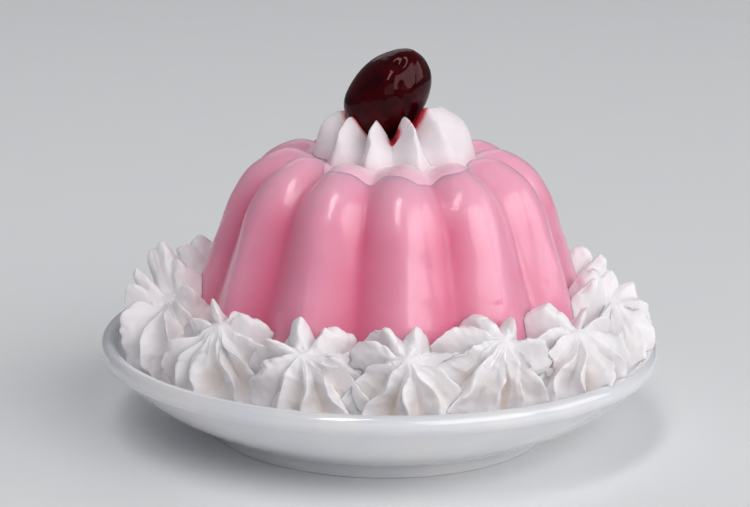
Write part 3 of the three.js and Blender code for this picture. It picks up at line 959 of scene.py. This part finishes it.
def build_puddle(material, jelly):
    """The softened cream: a thin sheet with a round edge that follows the jelly's lobes."""
    skin = BVHTree.FromObject(jelly, bpy.context.evaluated_depsgraph_get())
    angles = np.linspace(-180, 180, PUDDLE_COLUMNS, endpoint=False)
    ends = np.array([*PUDDLE, (180, PUDDLE[0][1])])
    reach = np.interp(angles, ends[:, 0], ends[:, 1])
    reach = np.convolve(np.r_[reach[-2:], reach, reach[:2]], np.ones(5) / 5, "valid")
    turn = np.radians(angles)
    way = np.stack([np.sin(turn), -np.cos(turn), np.zeros_like(turn)], -1)
    middle = np.array([TOP["x"], TOP["y"], 0])
    shares = np.linspace(0, 1, PUDDLE_ROWS) ** 0.6
    drips = 0.7 * sum(bell(angles, at, 5) for at in PUDDLE_DRIPS)
    down = Vector((0, 0, -1))
    top, under = [], []
    for share in shares:
        flat = middle + way * (PUDDLE_FROM + (reach - PUDDLE_FROM) * share)[:, None]
        found = [skin.ray_cast(Vector((*p[:2], ABOVE_ALL)) * MM, down)[:2] for p in flat]
        place = np.array([hit[0] for hit in found]) / MM
        normal = np.array([hit[1] for hit in found])
        thick = PUDDLE_THICK * (1 + 0.2 * waves(flat, 5, 21) + drips) * (1 - share**3)
        top.append(place + normal * thick[:, None])
        under.append(place - normal * PUDDLE_SUNK)
    middles = [np.repeat(rows[0].mean(axis=0)[None], len(angles), axis=0) for rows in (under, top)]
    rows = [middles[0], *under, *top[::-1], middles[1]]
    puddle = closed_skin("softened_cream", rows)
    edge = np.repeat(smoothstep(shares, 0.45, 0.95), len(angles))
    paint(puddle, "edge", np.r_[0, edge, edge.reshape(len(shares), -1)[::-1].ravel(), 0])
    return dress(puddle, material, "cream")


# ---- fruit ----

def build_fruit(material):
    around = np.linspace(-180, 180, FRUIT_COLUMNS, endpoint=False)[None, :]
    up = np.linspace(-90, 90, FRUIT_ROWS)[:, None]
    rise = np.radians(up)
    bulge = 1 + 0.2 * bell(around, -90, 45) * bell(up, -55, 28)  # fuller at its lower left
    radius = FRUIT["wide"] * np.cos(rise) * (1 - FRUIT["taper"] * np.sin(rise)) * bulge
    high = np.repeat(FRUIT["tall"] * np.sin(rise), FRUIT_COLUMNS, axis=1)
    turn = np.radians(around)
    rows = np.stack([radius * np.sin(turn), -radius * np.cos(turn), high], -1)
    lean = np.array(Matrix.Rotation(math.radians(FRUIT["lean"]), 3, "Y"))
    fruit = closed_skin("preserved_fruit", rows @ lean.T + (FRUIT["x"], FRUIT["y"], FRUIT["high"]))
    # The crease runs down the front from one side of the middle to the other.
    down = np.clip((18 - up) / 26, -1, 2)
    crease = 0.5 * bell(around, 7 + 32 * down, 8) * within(up, -24, -8, 14, 30)
    dimple = 0.8 * bell(around, -29, 14) * bell(up, 41, 10)
    long_way = rows * (1, 1, 0.45)
    wrinkles = 0.2 * waves(long_way, 5, 11) + 0.05 * waves(long_way, 2.2, 12) + 0.01 * waves(rows, 0.9, 13)
    shape = wrinkles - crease - dimple
    points = points_of(fruit)
    shape = np.r_[shape[0, :1], shape[1:-1].ravel(), shape[-1, :1]]
    move_points(fruit, points + normals_of(fruit) * shape[:, None])
    return dress(fruit, material, "fruit", "fruit")


# ---- studio ----

def build_floor():
    mesh = bpy.data.meshes.new("floor")
    corners = [(FLOOR_HALF * x, FLOOR_HALF * y, 0) for x, y in ((-1, -1), (1, -1), (1, 1), (-1, 1))]
    mesh.from_pydata(corners, [], [(0, 1, 2, 3)])
    mesh.materials.append(floor_material())
    floor = bpy.data.objects.new("floor", mesh)
    bpy.context.scene.collection.objects.link(floor)


def soft_light(name, azimuth, elevation, width, height, power):
    """A softbox that faces the object. Azimuth 0 is at the front, and 90 is at the right."""
    lamp = bpy.data.lights.new(name, "AREA")
    lamp.shape = "RECTANGLE"
    lamp.size, lamp.size_y = width, height
    lamp.energy = power
    box = bpy.data.objects.new(name, lamp)
    turn, rise = math.radians(azimuth), math.radians(elevation)
    way = Vector((math.sin(turn) * math.cos(rise), -math.cos(turn) * math.cos(rise), math.sin(rise)))
    box.location = Vector(LIGHT_AIM) + way * LIGHT_DISTANCE
    box.rotation_euler = way.to_track_quat("Z", "Y").to_euler()
    bpy.context.scene.collection.objects.link(box)


def build_studio():
    build_floor()
    for softbox in SOFTBOXES:
        soft_light(*softbox)
    world = bpy.data.worlds.new("studio")
    world.use_nodes = True
    sky = world.node_tree.nodes["Background"]
    sky.inputs["Color"].default_value = SKY_COLOUR
    sky.inputs["Strength"].default_value = SKY_STRENGTH
    bpy.context.scene.world = world
    bpy.context.scene.view_settings.view_transform = "Standard"


def build_camera():
    rise, roll = math.radians(CAMERA_ELEVATION), math.radians(CAMERA_ROLL)
    back = Vector((0, -math.cos(rise), math.sin(rise)))
    right = Vector((1, 0, 0))
    up = back.cross(right)
    x_way = right * math.cos(roll) + up * math.sin(roll)
    y_way = up * math.cos(roll) - right * math.sin(roll)
    place = (Vector(CAMERA_TARGET) + back * CAMERA_DISTANCE) * MM
    lens = bpy.data.cameras.new("camera")
    lens.sensor_width = SENSOR
    lens.lens = SENSOR * FOCAL_PIXELS / IMAGE_WIDTH
    lens.clip_start = 0.01
    camera = bpy.data.objects.new("camera", lens)
    camera.matrix_world = Matrix((x_way, y_way, back)).transposed().to_4x4()
    camera.location = place
    bpy.context.scene.collection.objects.link(camera)
    bpy.context.scene.camera = camera


build_camera()
build_plate(porcelain_material())
jelly_piece = build_jelly(jelly_material())
fruit_piece = build_fruit(fruit_material())
build_ring(cream_material(colour(238, 234, 236), colour(243, 240, 241)), jelly_piece)
build_top(top_cream_material(), jelly_piece, fruit_piece)
build_puddle(puddle_material(), jelly_piece)
build_studio()
